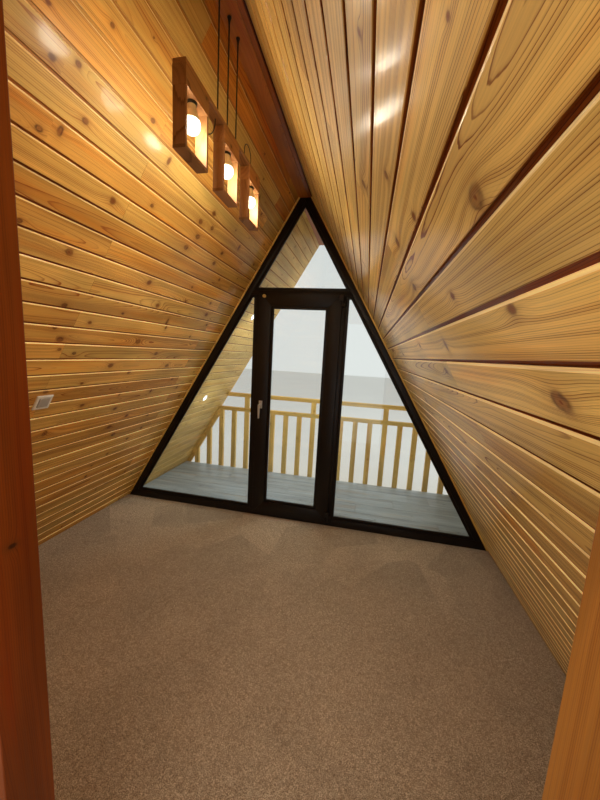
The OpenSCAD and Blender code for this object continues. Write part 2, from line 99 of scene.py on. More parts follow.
# The rows of boards, counted from that groove, and their lowest and highest edge on the slope
ROWS = range(-32, 13)
LINING_Q = (-0.0116, 3.377)
THINNEST = 0.01
# Room between two boards' ends
BUTT = 0.0003

X, Y, Z = Vector((1, 0, 0)), Vector((0, 1, 0)), Vector((0, 0, 1))
FAR_KNOT = (-99.0, 0.0, 0.01)


def at(x, y, z):
    """A point given from the middle plane, the gable and the carpet, in the part's frame."""
    return Vector((x, y + GABLE_Y, z + CARPET_Z))


def on_slope(side, q, y, d):
    """A point q up the slope from the carpet's line and d outside the lining's face."""
    return at(side * (HALF_W - q * COS + d * SIN), y, q * SIN + d * COS)


def slope_x(z, d):
    """Half the width between the two planes that lie d outside the lining's face."""
    return HALF_W * (1 - z / APEX_Z) + d / SIN


# Camera: its place, and its turn to the right, tilt up and roll in degrees

CAMERA_AT = (0.6199, -1.9159, 1.8184)
YAW, TILT, ROLL = -11.3146, -8.1303, 3.1693
LENS = 14.461
SENSOR = 36
CLIP = (0.02, 100)


def add_object(name, data):
    thing = bpy.data.objects.new(name, data)
    bpy.context.scene.collection.objects.link(thing)
    return thing


def make_camera():
    yaw, tilt, roll = (math.radians(a) for a in (YAW, 90 + TILT, ROLL))
    data = bpy.data.cameras.new("camera")
    data.sensor_width = SENSOR
    data.lens = LENS
    data.clip_start, data.clip_end = CLIP
    camera = add_object("camera", data)
    turn = Matrix.Rotation(-yaw, 4, "Z") @ Matrix.Rotation(tilt, 4, "X")
    turn = turn @ Matrix.Rotation(roll, 4, "Z")
    camera.matrix_world = Matrix.Translation(CAMERA_AT) @ turn
    bpy.context.scene.camera = camera


make_camera()


# Materials

class Graph:
    """The nodes of one material, or of the world given as owner."""

    def __init__(self, name, owner=None):
        self.owner = owner or bpy.data.materials.new(name)
        self.owner.use_nodes = True
        self.tree = self.owner.node_tree
        self.tree.nodes.clear()

    def add(self, kind, inputs=(), **settings):
        node = self.tree.nodes.new("ShaderNode" + kind)
        for key, value in settings.items():
            setattr(node, key, value)
        for key, value in dict(inputs).items():
            if isinstance(value, bpy.types.NodeSocket):
                self.tree.links.new(value, node.inputs[key])
            else:
                node.inputs[key].default_value = value
        return node

    def out(self, kind, inputs=(), **settings):
        return self.add(kind, inputs, **settings).outputs[0]

    def attribute(self, name):
        return self.add("Attribute", attribute_name=name).outputs["Vector"]

    def point(self):
        return self.add("TexCoord").outputs["Object"]

    def split(self, vector):
        return self.add("SeparateXYZ", {0: vector}).outputs

    def vec(self, x, y, z):
        return self.out("CombineXYZ", {0: x, 1: y, 2: z})

    def math(self, operation, a, b=0.0, c=0.0, clamp=False):
        return self.out("Math", {0: a, 1: b, 2: c}, operation=operation, use_clamp=clamp)

    def mul(self, a, b):
        return self.math("MULTIPLY", a, b)

    def plus(self, a, b):
        return self.math("ADD", a, b)

    def less(self, a, b):
        return self.math("SUBTRACT", a, b)

    def root(self, a, b):
        return self.math("SQRT", self.plus(self.mul(a, a), self.mul(b, b)))

    def fade(self, value, start, end, low=0.0, high=1.0):
        """Goes smoothly from low to high as value goes from start to end."""
        return self.out("MapRange", {0: value, 1: start, 2: end, 3: low, 4: high},
                        interpolation_type="SMOOTHSTEP")

    def noise(self, vector, scale=1.0, detail=1.0, roughness=0.5):
        node = self.add("TexNoise", {"Vector": vector, "Scale": scale, "Detail": detail,
                                     "Roughness": roughness})
        return node.outputs["Fac"]

    def cells(self, vector, scale):
        return self.add("TexVoronoi", {"Vector": vector, "Scale": scale}).outputs["Color"]

    def ramp(self, value, stops):
        node = self.add("ValToRGB", {0: value})
        marks = node.color_ramp.elements
        while len(marks) < len(stops):
            marks.new(0.5)
        for mark, (place, level) in zip(marks, stops):
            mark.position = place
            mark.color = (level, level, level, 1)
        return node.outputs[0]

    def mix(self, factor, a, b, blend="MIX"):
        node = self.add("Mix", {0: factor, 6: a, 7: b}, data_type="RGBA", blend_type=blend)
        return node.outputs[2]

    def scale(self, colour, factor):
        """A colour times a number."""
        colour = colour[:3] if isinstance(colour, tuple) else colour
        return self.out("VectorMath", {0: colour, "Scale": factor}, operation="SCALE")

    def bump(self, height, distance, strength):
        return self.out("Bump", {"Height": height, "Distance": distance, "Strength": strength})

    def finish(self, shader):
        self.add("OutputMaterial", {0: shader})
        return self.owner

    def principled(self, **inputs):
        named = {key.replace("_", " "): value for key, value in inputs.items()}
        return self.finish(self.out("BsdfPrincipled", named))


def rgb(*levels):
    """A colour written in sRGB, from 0 to 255, as linear numbers."""
    shares = [level / 255 for level in levels]
    return (*(v / 12.92 if v <= 0.04045 else ((v + 0.055) / 1.055) ** 2.4 for v in shares), 1)


# Darkness across one year ring, in soft and in crisp wood
SOFT_RINGS = [(0, 0), (0.5, 0.05), (0.78, 0.32), (0.92, 1), (0.97, 0.8), (1, 0.02)]
CRISP_RINGS = [(0, 0), (0.6, 0.06), (0.8, 0.3), (0.89, 1), (0.95, 1), (1, 0)]
# How far rings wander across and into a board, and how much they ripple, in m
SWAY, BEND, RIPPLE = 0.022, 0.045, 0.0010
# Rings round a knot: how short the bulge is along the board, its fall, its height in radii
BULGE_LONG, BULGE_FALL, BULGE_HIGH = 0.42, 0.22, 1.25
WARM_TINT, RED_TINT = (1.0, 0.62, 0.30, 1), (1.0, 0.45, 0.15, 1)
# Pale tint of the painted highlight on a varnished edge
ARRIS_HIGHLIGHT = (1.0, 0.76, 0.38, 1)


def read_board(g):
    """Keeps on the graph what a mesh tells it: the place along, across and into the board (u, s,
    d), the cell's knot (ku, ks, radius kr), and the face's brightness, redness and seed."""
    g.u, g.s, g.d = g.split(g.attribute("grain"))
    g.ku, g.ks, g.kr = g.split(g.attribute("knot"))
    g.bright, g.warm, g.seed = g.split(g.attribute("tone"))
    g.du, g.dv = g.less(g.u, g.ku), g.less(g.s, g.ks)


def streaks(g, along, across, third=None, detail=1, shift=0.0):
    """Noise with so many waves a metre along and across the board."""
    u = g.plus(g.mul(g.u, along), shift)
    third = g.seed if third is None else third
    return g.noise(g.vec(u, g.mul(g.s, across), third), 1, detail)


def year_rings(g, contrast, spacing, profile):
    """How dark the rings are: circles about the pith, bent round the knot."""
    s0, h0, tilt = g.split(g.attribute("pith"))
    sway = g.mul(g.less(streaks(g, 1.1, 4, shift=31), 0.5), SWAY)
    bend = g.mul(g.less(streaks(g, 1.6, 5), 0.5), BEND)
    across = g.plus(g.less(g.s, s0), sway)
    deep = g.plus(g.plus(h0, g.d), g.plus(g.mul(tilt, g.u), bend))
    reach = g.math("DIVIDE", g.root(g.mul(g.du, BULGE_LONG), g.dv), g.kr)
    swell = g.math("EXPONENT", g.mul(g.mul(reach, reach), -BULGE_FALL))
    radius = g.plus(g.root(across, deep), g.mul(g.mul(swell, g.kr), BULGE_HIGH))
    radius = g.plus(radius, g.mul(g.less(streaks(g, 16, 160), 0.5), RIPPLE))
    own = g.math("FRACT", g.mul(g.seed, 7.13))
    pace = g.mul(spacing, g.fade(own, 0, 1, 0.7, 1.35))
    late = g.ramp(g.math("FRACT", g.math("DIVIDE", radius, pace)), profile)
    year = g.noise(g.vec(g.mul(radius, 110), g.seed, 0.0), 1, 0)
    strength = g.mul(late, g.fade(year, 0.3, 0.68, 0.18 * contrast, contrast))
    return g.plus(strength, g.fade(year, 0.35, 0.75, 0.0, 0.22))


def knot_marks(g, colour, dark, knot):
    """Lays the knot's halo, body and broken dark rim over the colour."""
    ragged = streaks(g, 34, 52, detail=3)
    age = g.math("FRACT", g.mul(g.ku, 37.7))
    spike = g.fade(g.math("FRACT", g.mul(g.ku, 91.3)), 0.7, 1.0)
    long, short = g.fade(spike, 0, 1, 0.75, 1.25), g.fade(spike, 0, 1, 1.0, 0.6)
    core = g.math("DIVIDE", g.root(g.mul(g.du, long), g.mul(g.dv, short)), g.kr)
    core = g.plus(core, g.mul(g.less(ragged, 0.5), 1.5))
    halo = g.math("EXPONENT", g.mul(g.math("MAXIMUM", g.less(core, 0.6), 0.0), -0.9))
    colour = g.mix(g.mul(halo, 0.6), colour, g.mix(0.3, dark, knot))
    body = g.mul(g.fade(core, 0.4, 1.2, 1.0, 0.0), g.fade(age, 0, 1, 0.35, 0.9))
    eye = g.fade(core, 0.0, 0.4, 1.0, 0.0)
    colour = g.mix(g.math("MAXIMUM", body, eye), colour, knot)
    rim = g.math("EXPONENT", g.mul(g.math("POWER", g.mul(g.less(core, 0.85), 3.6), 2.0), -1.0))
    rim = g.mul(g.mul(rim, g.fade(ragged, 0.38, 0.62, 0.25, 1.0)), g.fade(age, 0, 1, 0.9, 0.4))
    return g.mix(rim, colour, g.scale(knot, 0.36))


def wood(name, light, dark, knot, contrast=1.0, spacing=0.0042, coat=0.3, shine=0.3, rough=0.5,
         rings=SOFT_RINGS):
    """Sawn wood: year rings, one knot a cell, stains and a fine fibre. Its colours are sRGB."""
    g = Graph(name)
    light, dark, knot = (rgb(*colour) for colour in (light, dark, knot))
    # Each face's tone carries the painted shade of grooves and gaps and the painted highlight of
    # bevels
    read_board(g)
    colour = g.mix(year_rings(g, contrast, spacing, rings), light, dark)
    stain = streaks(g, 1.3, 16, g.plus(g.seed, 5), 2)
    warm = g.plus(g.warm, g.fade(stain, 0.5, 0.75, 0.0, 0.4))
    colour = g.mix(warm, colour, WARM_TINT, "MULTIPLY")
    # Redness over 1 reddens further: the painted shade of grooves, gaps and dark parts, and the
    # reddest boards
    colour = g.mix(g.less(warm, 1.0), colour, RED_TINT, "MULTIPLY")
    colour = knot_marks(g, colour, dark, knot)
    # A redness under 0 paints the bevel's pale highlight
    arris_highlight = g.math("MULTIPLY", g.warm, -1.0, clamp=True)
    colour = g.mix(arris_highlight, colour, ARRIS_HIGHLIGHT)
    fibre = streaks(g, 8, 420, g.mul(g.d, 420))
    blotch = streaks(g, 2.2, 11)
    level = g.mul(g.fade(fibre, 0.25, 0.75, 0.92, 1.07), g.fade(blotch, 0.3, 0.7, 0.82, 1.1))
    return g.principled(
        Base_Color=g.scale(colour, g.mul(g.bright, level)),
        Roughness=g.fade(fibre, 0.2, 0.8, rough - 0.05, rough + 0.08),
        Normal=g.bump(fibre, 0.0004, 0.35), Specular_IOR_Level=shine, Coat_Weight=coat,
        Coat_Roughness=0.15)


KNOT = (122, 60, 18)
LINING = wood("left_lining_wood", (240, 203, 112), (176, 104, 34), KNOT)
STRAW = wood("right_lining_wood", (238, 202, 118), (134, 76, 24), KNOT, 1.2, 0.0032,
             coat=0.38, shine=0.15, rings=CRISP_RINGS)
PALE = wood("pale_wood", (230, 198, 122), (200, 154, 78), (140, 88, 44), 0.8, coat=0.1)
JAMB = wood("jamb_wood", (214, 160, 80), (160, 100, 42), (60, 26, 12), 0.8, 0.0034,
            coat=0.15, rings=CRISP_RINGS)
LAMP_WOOD = wood("lamp_timber", (158, 112, 68), (110, 70, 38), (64, 36, 18), 0.9, coat=0.05)
FRAMING = wood("framing_wood", (224, 188, 136), (196, 150, 96), (120, 74, 40), 0.8,
               coat=0.0, rough=0.62)


def plain(name, colour, rough, grain=0.0002, metal=0.0, scale=220, spread=0.06, shine=0.5):
    """A nearly even surface: slight changes of gloss and tone, and a fine grain."""
    g = Graph(name)
    place = g.point()
    fine = g.noise(place, scale, 2)
    wide = g.noise(place, 5, 3)
    tint = g.scale(rgb(*colour), g.fade(wide, 0.3, 0.7, 1 - spread, 1 + spread))
    return g.principled(
        Base_Color=tint, Roughness=g.fade(wide, 0.3, 0.7, rough - 0.05, rough + 0.07),
        Metallic=metal, Normal=g.bump(fine, grain, 0.3), Specular_IOR_Level=shine)


FRAME_BROWN = plain("frame_brown", (19, 12, 9), 0.38, 0.00012, shine=0.35)
ROOF_SHEET = plain("roof_metal", (84, 68, 56), 0.42, 0.0005, metal=0.35, scale=60)
HINGE = plain("hinge_metal", (34, 30, 28), 0.38, metal=0.4)
HANDLE = plain("handle_metal", (206, 204, 200), 0.3, metal=0.55, scale=600)
BLACK = plain("black_plastic", (26, 25, 24), 0.5)
WHITE = plain("white_plastic", (242, 240, 234), 0.35, spread=0.02)
PANEL = plain("grey_panel", (186, 180, 174), 0.3, spread=0.03)
HOUSING = plain("bulb_housing", (232, 220, 190), 0.4, spread=0.02)
GROUT = plain("grout", (120, 116, 108), 0.85, 0.0006)


PANE_TINT = (0.93, 0.96, 0.95, 1)


def glass(name):
    """Clear glass that lets light and shadow rays straight through."""
    g = Graph(name)
    path = g.add("LightPath").outputs
    ripple = g.noise(g.point(), 1.3, 1)
    clear = g.out("BsdfPrincipled", {
        "Base Color": PANE_TINT, "Transmission Weight": 1.0, "Roughness": 0.0,
        "IOR": 1.45, "Normal": g.bump(ripple, 0.0004, 0.05)})
    through = g.out("BsdfTransparent", {0: PANE_TINT})
    straight = g.math("MAXIMUM", path["Is Shadow Ray"], path["Is Diffuse Ray"])
    return g.finish(g.out("MixShader", {0: straight, 1: clear, 2: through}))


def glow(name, colour, strength, edge):
    """A frosted lens or globe that gives light, its rim dimmer by the factor edge."""
    g = Graph(name)
    rim = g.add("LayerWeight", {0: 0.4}).outputs["Facing"]
    level = g.fade(rim, 0.1, 1.0, strength, strength * edge)
    return g.principled(Base_Color=(0.9, 0.88, 0.84, 1), Roughness=0.3,
                        Emission_Color=colour, Emission_Strength=level)


PANE = glass("pane_glass")
BULB_GLOW = glow("bulb_glow", (1.0, 0.86, 0.62, 1), 6.0, 0.55)
SPOT_GLOW = glow("spot_glow", (0.86, 0.94, 1.0, 1), 4.0, 0.5)


def carpet_material():
    """Tufts in clumps, with brushed patches that grow stronger towards the balcony door."""
    g = Graph("carpet_pile")
    place = g.point()
    tuft = g.noise(place, 330, 2, 0.6)
    clump = g.noise(place, 95, 2, 0.6)
    brushed = g.noise(place, 2.1, 2, 0.6)
    strokes = g.split(g.cells(g.scale(place, 2.3), 1.0))[0]
    colour = g.mix(g.fade(tuft, 0.38, 0.62), rgb(126, 104, 80), rgb(226, 204, 174))
    colour = g.mix(g.fade(clump, 0.35, 0.7, 0.0, 0.5), colour, rgb(136, 108, 82))
    near_door = g.fade(g.split(place)[1], -0.1, 0.6, 0.2, 1.0)
    patch = g.plus(g.mul(g.fade(strokes, 0.1, 0.9, -0.13, 0.13), near_door), 1.0)
    colour = g.scale(colour, g.mul(g.fade(brushed, 0.35, 0.65, 0.93, 1.06), patch))
    height = g.plus(g.mul(tuft, 0.7), clump)
    return g.principled(Base_Color=colour, Roughness=0.9, Sheen_Weight=0.25,
                        Sheen_Roughness=0.5, Normal=g.bump(height, 0.004, 0.8))


def floor_material():
    g = Graph("studio_floor")
    wide = g.noise(g.point(), 0.6, 2)
    colour = g.scale((0.80, 0.79, 0.77, 1), g.fade(wide, 0.3, 0.7, 0.98, 1.02))
    return g.principled(Base_Color=colour, Roughness=0.8)


CARPET = carpet_material()
TILE = wood("tile_print", (172, 188, 200), (126, 136, 144), (98, 104, 108),
            spacing=0.006, coat=0.0, rough=0.38)


# Pieces

PITH_DEPTHS = [0.008, 0.018, 0.03, 0.05, 0.08]
END_SHADE = 0.7


def place_piece(name, mesh, material, body, nodes=()):
    piece = add_object(name, mesh)
    mesh.materials.clear()
    mesh.materials.append(material)
    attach(piece, body)
    if nodes:
        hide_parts(*nodes)


def body_of(node):
    return frame["nodes"][node]["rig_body"]


def draw(rng, width, bright=1.0, warm=0.15, spread=0.1, edge_on=0.0):
    """One board's own look: where its pith lies, and its tone. edge_on is the share of boards
    that are cut across their rings, which gives them fine straight lines."""
    pith = (rng.uniform(-0.35, 1.35) * width, rng.choice(PITH_DEPTHS),
            rng.uniform(0.008, 0.034) * rng.choice([-1, 1]))
    if rng.random() < edge_on:
        pith = (rng.choice([-1, 1]) * rng.uniform(0.6, 1.6) * width + width / 2,
                rng.uniform(0.0, 0.03), pith[2] * 0.5)
    tone = (bright * rng.uniform(1 - spread, 1 + spread), warm * rng.uniform(0.2, 1.8),
            rng.uniform(0, 90))
    return pith, tone


def write_grain(mesh, faces):
    """Stores what the wood's shader reads: each face's corners' grain, pith, knot and tone."""
    grains, *others = zip(*faces)
    layers = [("grain", "CORNER", [grain for corners in grains for grain in corners])]
    layers += [(key, "FACE", values) for key, values in zip(("pith", "knot", "tone"), others)]
    for key, domain, values in layers:
        layer = mesh.attributes.new(key, "FLOAT_VECTOR", domain)
        layer.data.foreach_set("vector", np.array(values, np.float32).ravel())


def clamp(value):
    return min(1.0, max(0.0, value))


class Boards:
    """Closed prisms of wood in one mesh, with what the wood's shader reads."""

    def __init__(self):
        self.points = []
        self.faces = []

    def prism(self, spot, profile, ends, look, knots=(), shades=None):
        """spot maps (u, s, d) to a point. profile holds (s, d) corners. ends are two lengths,
        or two functions of (s, d). knots are (u, s, radius)."""
        start, end = (e if callable(e) else (lambda s, d, e=e: e) for e in ends)
        pith, (bright, warm, seed) = look
        knots = sorted(knots)
        middles = [(a[0] + b[0]) / 2 for a, b in zip(knots, knots[1:])]
        cuts = [start] + [(lambda s, d, m=m: m) for m in middles] + [end]
        s, d = profile[0]
        centre = (start(s, d) + end(s, d)) / 2
        base = len(self.points)
        count = len(profile)
        for cut in cuts:
            self.points.extend(spot(cut(s, d), s, d) for s, d in profile)
        turn = -1 if self.turned(spot, profile) else 1

        def face(corners, grains, knot, tone):
            self.faces.append((corners[::turn], grains[::turn], pith, knot, tone))

        grain = [[(cut(s, d) - centre, s, d) for s, d in profile] for cut in cuts]
        for cell, (ku, ks, kr) in enumerate(knots or [FAR_KNOT]):
            a, b = base + cell * count, base + (cell + 1) * count
            near, far = grain[cell], grain[cell + 1]
            for k in range(count):
                n = (k + 1) % count
                shade, red = shades[k] if shades else (1.0, 0.0)
                # A redness under 0 carries the bevel's painted highlight
                heat = red if red < 0 else max(warm, red)
                face([a + k, a + n, b + n, b + k], [near[k], near[n], far[n], far[k]],
                     (ku - centre, ks, kr), (bright * shade, heat, seed))
        last = base + (len(cuts) - 1) * count
        tone = (bright * END_SHADE, warm, seed)
        face(range(last, last + count), grain[-1], FAR_KNOT, tone)
        face(range(base, base + count)[::-1], grain[0][::-1], FAR_KNOT, tone)

    def turned(self, spot, profile):
        """True if the faces would come out inside out."""
        area = sum(a[0] * b[1] - b[0] * a[1] for a, b in zip(profile, profile[1:] + profile[:1]))
        o = spot(0, 0, 0)
        hand = (spot(1, 0, 0) - o).cross(spot(0, 1, 0) - o).dot(spot(0, 0, 1) - o)
        return (area > 0) != (hand > 0)

    def make(self, name, material, slot, nodes=()):
        mesh = bpy.data.meshes.new(name)
        mesh.from_pydata(self.points, [], [list(face[0]) for face in self.faces])
        write_grain(mesh, [face[1:] for face in self.faces])
        place_piece(name, mesh, material, "root", nodes)


def rounded(s0, d0, s1, d1, r, steps=2):
    """A rectangle with rounded corners, as (s, d) corners."""
    corners = []
    for cs, cd, turn in ((s0 + r, d0 + r, 180), (s1 - r, d0 + r, 270), (s1 - r, d1 - r, 0),
                         (s0 + r, d1 - r, 90)):
        for i in range(steps + 1):
            a = math.radians(turn + 90 * i / steps)
            corners.append((cs + r * math.cos(a), cd + r * math.sin(a)))
    return corners


# Painted shade: the lower edge, groove and tongue tones below are darker and redder than the face
# Brightness and redness of a board's face, its lower edge, its groove, its tongue and its back
FACE_SHADE = (1.0, 0.0)
EDGE_SHADE = (0.8, 0.5)
DEEP_SHADE = (0.34, 1.7)
TONGUE_SHADE = (0.32, 2.0)
BACK_SHADE = (0.8, 0.0)
# The same for a groove of the left slope's top rows, where the photo shows them pale
# Painted light: that pale tone stands for the lamp's light falling into these grooves
PAINTED_LIT_GROOVE = (0.85, 0.6)
# The same for the bevel along the upper edge, a painted highlight: brighter, and its redness is
# under 0, which makes the wood pale
BEVEL_HIGHLIGHT = (1.12, -0.55)
# The bevel: distance below the edge, depth from the face
BEVEL = [(0.0048, 0.0), (0.0030, 0.0004), (0.0015, 0.0011), (0.0005, 0.0020), (0.0, 0.0030)]
# How much brighter the bevel's painted highlight is on the soffits, on the linings and on the low
# rows
SOFFIT_LIT, INSIDE_LIT, LOW_LIT = 0.85, 1.12, 0.6


def lining_profile(low, high, rebate, tongue, painted_groove_light, lit):
    """A board's section and each side's shade: rounded below, bevelled above, with its tongue.
    painted_groove_light turns its groove from painted shade to painted light,
    and lit brightens its bevel's painted highlight."""
    r = EDGE_R
    deep, floor = (tuple(dark + (pale - dark) * painted_groove_light for dark, pale in zip(shade, PAINTED_LIT_GROOVE))
                   for shade in (DEEP_SHADE, TONGUE_SHADE))
    corners = [(low, TONGUE_D - PLAY if rebate else LINING_T)]
    corners += [(low + r * (1 - math.cos(a)), r * (1 - math.sin(a)))
                for a in map(math.radians, (0, 30, 60, 90))]
    corners += [(high - below, depth) for below, depth in BEVEL]
    bevel = (BEVEL_HIGHLIGHT[0] * lit, BEVEL_HIGHLIGHT[1])
    shades = [deep] + [EDGE_SHADE] * 3 + [FACE_SHADE] + [bevel] * (len(BEVEL) - 1) + [deep]
    if tongue:
        corners += [(high, TONGUE_D), (high + GAP + LAP, TONGUE_D)]
        shades += [floor, floor]
        high += GAP + LAP
    corners.append((high, LINING_T))
    if rebate:
        corners += [(low + LAP + PLAY, LINING_T), (low + LAP + PLAY, TONGUE_D - PLAY)]
    shades += [BACK_SHADE] * (len(corners) - len(shades))
    return corners, shades


def lining_board(boards, side, row, ends, knots, rng, bright, warm, lit):
    """One board of a sloped lining, cut at the slope's limits."""
    q = GROOVE_Z[side] / SIN + row * PITCH + GAP_TOP
    width = PITCH - GAP
    low, high = max(0.0, LINING_Q[0] - q), min(width, LINING_Q[1] - q)
    if high - low < THINNEST:
        return
    tongue = high == width and q + PITCH + LAP < LINING_Q[1]
    # Painted light on the left slope's upper rows: their grooves turn pale as if lit by the lamp
    painted_groove_light = clamp((row + 6) / 6) if side < 0 else 0.0
    profile, shades = lining_profile(low, high, low == 0, tongue, painted_groove_light, lit)
    look = draw(rng, width, bright, warm, SPREAD[side], EDGE_ON[side])
    here = [(y, width / 2 + off / 1000, r / 1000) for y, off, r in knots
            if ends[0] + KNOT_CLEAR < y < ends[1] - KNOT_CLEAR]
    boards.prism(lambda u, s, d: on_slope(side, q + s, u, d), profile, ends, look, here, shades)


# Knots that the photo shows, by side and row: y in cm, offset across and radius in mm
KNOTS = {-1: {
    -20: [(-79, 6, 14), (-46, -16, 12)], -19: [(-88, 10, 12), (-47, 30, 10)],
    -18: [(-140, 7, 14), (-75, -8, 13)], -17: [(-92, -2, 12)],
    -16: [(-123, -9, 12), (-95, 34, 9), (-61, 24, 12), (-25, 24, 10)],
    -15: [(-151, 34, 9)], -14: [(-131, -27, 10), (-97, 31, 10)],
    -13: [(-116, -1, 12), (-58, -18, 11)],
    -12: [(-154, 12, 8), (-145, -10, 10), (-79, -1, 11)],
    -11: [(-161, 34, 7), (-156, -25, 11), (-103, -7, 12)],
    -10: [(-144, -10, 12), (-83, 25, 10)],
    -9: [(-161, -34, 9), (-126, -23, 10), (-85, -23, 10)],
    -8: [(-153, 16, 13), (-102, -22, 13), (-42, 3, 14)],
    -7: [(-169, 17, 12), (-118, 6, 14), (-77, -34, 10)], -6: [(-190, -31, 10)],
    -4: [(-160, 4, 13), (-151, -23, 10), (-103, -2, 13), (-68, 4, 13)],
    -3: [(-194, -19, 11), (-188, 15, 9), (-140, -12, 11), (-98, -6, 12), (-65, -2, 11)],
    -2: [(-182, -3, 9), (-102, -20, 12), (-89, -7, 10), (-48, 12, 12)],
    -1: [(-197, -17, 8), (-190, 23, 9), (-142, 6, 11), (-94, -25, 12)],
    0: [(-202, -12, 9), (-158, -17, 11)], 1: [(-185, -3, 8)], 2: [(-171, -6, 4)],
    4: [(-153, 36, 7)]
}, 1: {
    -18: [(-135, 11, 12)], -15: [(-185, -34, 10)], -6: [(-241, -5, 15), (-185, 13, 12)],
    -5: [(-240, 30, 9), (-199, -4, 10), (-162, 13, 11)], -4: [(-221, -6, 9)],
    -3: [(-244, -24, 13), (-196, -21, 9)], -2: [(-253, 4, 3), (-221, -32, 10), (-201, -5, 9)],
    -1: [(-217, -18, 8)], 0: [(-235, -4, 5), (-196, -9, 9)]}}
# By side: y of the joints in even rows, their step in odd rows, the stretch whose knots the photo
# shows, the boards' redness, their spread of brightness and the share cut across the rings
JOINT_Y = {-1: -1.52, 1: -1.90}
JOINT_STEP = {-1: 1.213, 1: 1.22}
SHOWN_Y = {-1: (-2.2, -0.9), 1: (-2.65, -1.2)}
REDNESS = {-1: 0.4, 1: 0.12}
SPREAD = {-1: 0.17, 1: 0.12}
EDGE_ON = {-1: 0.2, 1: 0.5}
# A knot this near a board's end is left out
KNOT_CLEAR = 0.01
# A knot as large as this keeps its radius, in mm
LARGE_KNOT = 13


def shown_knots(side, row):
    """The photo's knots of one row, with y in m, all but the large ones uneven in size."""
    return [(y / 100, off, r * (0.65 + 0.65 * ((y / 100 * 77.7) % 1)) if r < LARGE_KNOT else r)
            for y, off, r in KNOTS[side].get(row, [])]


def more_knots(rng, y0, y1, known, clear=(0, 0)):
    """Knots for the stretches that the photo doesn't show. clear is a stretch that it does."""
    made = list(known)
    y = y0 + rng.uniform(0.1, 0.6)
    while y < y1 - 0.08:
        if all(abs(y - k[0]) > 0.2 for k in made) and not clear[0] < y < clear[1]:
            made.append((y, rng.uniform(-30, 30), rng.uniform(4, 10)))
        y += rng.uniform(0.35, 0.95)
    return made[len(known):]


def row_painted_shade(side, row):
    """A lining row's brightness, redness and bevel, with painted shade: its top rows are darker
    and redder on the left, and its low rows are on the right. Low rows get a brighter painted
    bevel highlight on both sides."""
    high, low = clamp((row + 1) / 6), clamp((-6 - row) / 6)
    lit = INSIDE_LIT + LOW_LIT * low
    if side < 0:
        return 1.0 - 0.40 * high, REDNESS[side] + 0.35 * high, lit
    return 1.0 - 0.2 * low, REDNESS[side] + 0.25 * low, lit


def make_linings():
    for side, name in SIDES:
        rng = random.Random(41 + side)
        inside, outside = Boards(), Boards()
        for row in ROWS:
            known = shown_knots(side, row)
            knots = known + more_knots(rng, BACK_Y, 0, known, SHOWN_Y[side])
            joint = JOINT_Y[side] + (row % 2) * JOINT_STEP[side]
            for y0, y1 in ((BACK_Y, joint), (joint, LINING_END_Y)):
                lining_board(inside, side, row, (y0 + BUTT, y1 - BUTT), knots, rng,
                             *row_painted_shade(side, row))
            knots = more_knots(rng, LINING_END_Y, ROOF_END_Y, [])
            lining_board(outside, side, row, (LINING_END_Y, ROOF_END_Y), knots, rng, 1.0, 0.05,
                         SOFFIT_LIT)
        inside.make(name + "_lining_boards", LINING if side < 0 else STRAW, "lining",
                    [name + "_lining"])
        outside.make(name + "_soffit_boards", PALE, "pale_pine", [name + "_soffit"])


make_linings()


def whole_faces(node):
    """A CAD node's mesh for editing, its triangles joined into whole faces."""
    bm = bmesh.new()
    bm.from_mesh(frame["nodes"][node].data)
    bmesh.ops.remove_doubles(bm, verts=bm.verts, dist=1e-5)
    bmesh.ops.dissolve_limit(bm, angle_limit=0.01, verts=bm.verts, edges=bm.edges)
    return bm


def turn_out(bm):
    bmesh.ops.recalc_face_normals(bm, faces=bm.faces)


def mesh_of(bm, name, smooth=None):
    """The finished mesh, shaded smooth across edges under so many degrees."""
    mesh = bpy.data.meshes.new(name)
    bm.to_mesh(mesh)
    bm.free()
    if smooth:
        mesh.polygons.foreach_set("use_smooth", [True] * len(mesh.polygons))
        mesh.set_sharp_from_angle(angle=math.radians(smooth))
    return mesh


SHARP = math.radians(28)
SMOOTH = 35


def place_made(bm, name, material, nodes=(), smooth=SMOOTH):
    turn_out(bm)
    place_piece(name, mesh_of(bm, name, smooth), material, "root", nodes)


def eased(node, bevel, segments, smooth=None):
    """A CAD node's mesh with whole faces and eased edges."""
    bm = whole_faces(node)
    turn_out(bm)
    sharp = [e for e in bm.edges if len(e.link_faces) == 2 and e.calc_face_angle(0) > SHARP]
    bmesh.ops.bevel(bm, geom=sharp, offset=bevel, segments=segments, profile=0.5,
                    affect="EDGES", clamp_overlap=True)
    return mesh_of(bm, node, smooth)


def dressed(node, material, bevel=0.0015, segments=2):
    mesh = eased(node, bevel, segments, SMOOTH)
    place_piece(node + "_dressed", mesh, material, body_of(node), [node])


def islands(mesh):
    """Which connected part each vertex belongs to."""
    part = list(range(len(mesh.vertices)))

    def top(i):
        while part[i] != i:
            part[i] = part[part[i]]
            i = part[i]
        return i

    for edge in mesh.edges:
        a, b = (top(v) for v in edge.vertices)
        part[a] = b
    return [top(i) for i in range(len(part))]


def slope_axes(side):
    """Along the slope, out of it and along the building."""
    return Vector((-side * COS, 0, SIN)), Vector((side * SIN, 0, COS)), Y


AXES = {"X": (X, Z, Y), "Y": (Y, X, Z), "Z": (Z, X, Y), "L": slope_axes(-1), "R": slope_axes(1)}
# A bar narrower than this has no knot
KNOT_WIDTH = 0.03


def bar_frame(points, along, a, b):
    """A bar's axes along it, across its wider side and into it, and where it lies on them."""

    def span(axis):
        run = points @ np.array(axis)
        return run.min(), run.max()

    across, out = sorted((a, b), key=lambda v: span(v)[0] - span(v)[1])
    return np.array([along, across, out]), span(along), span(across), span(out)[0]


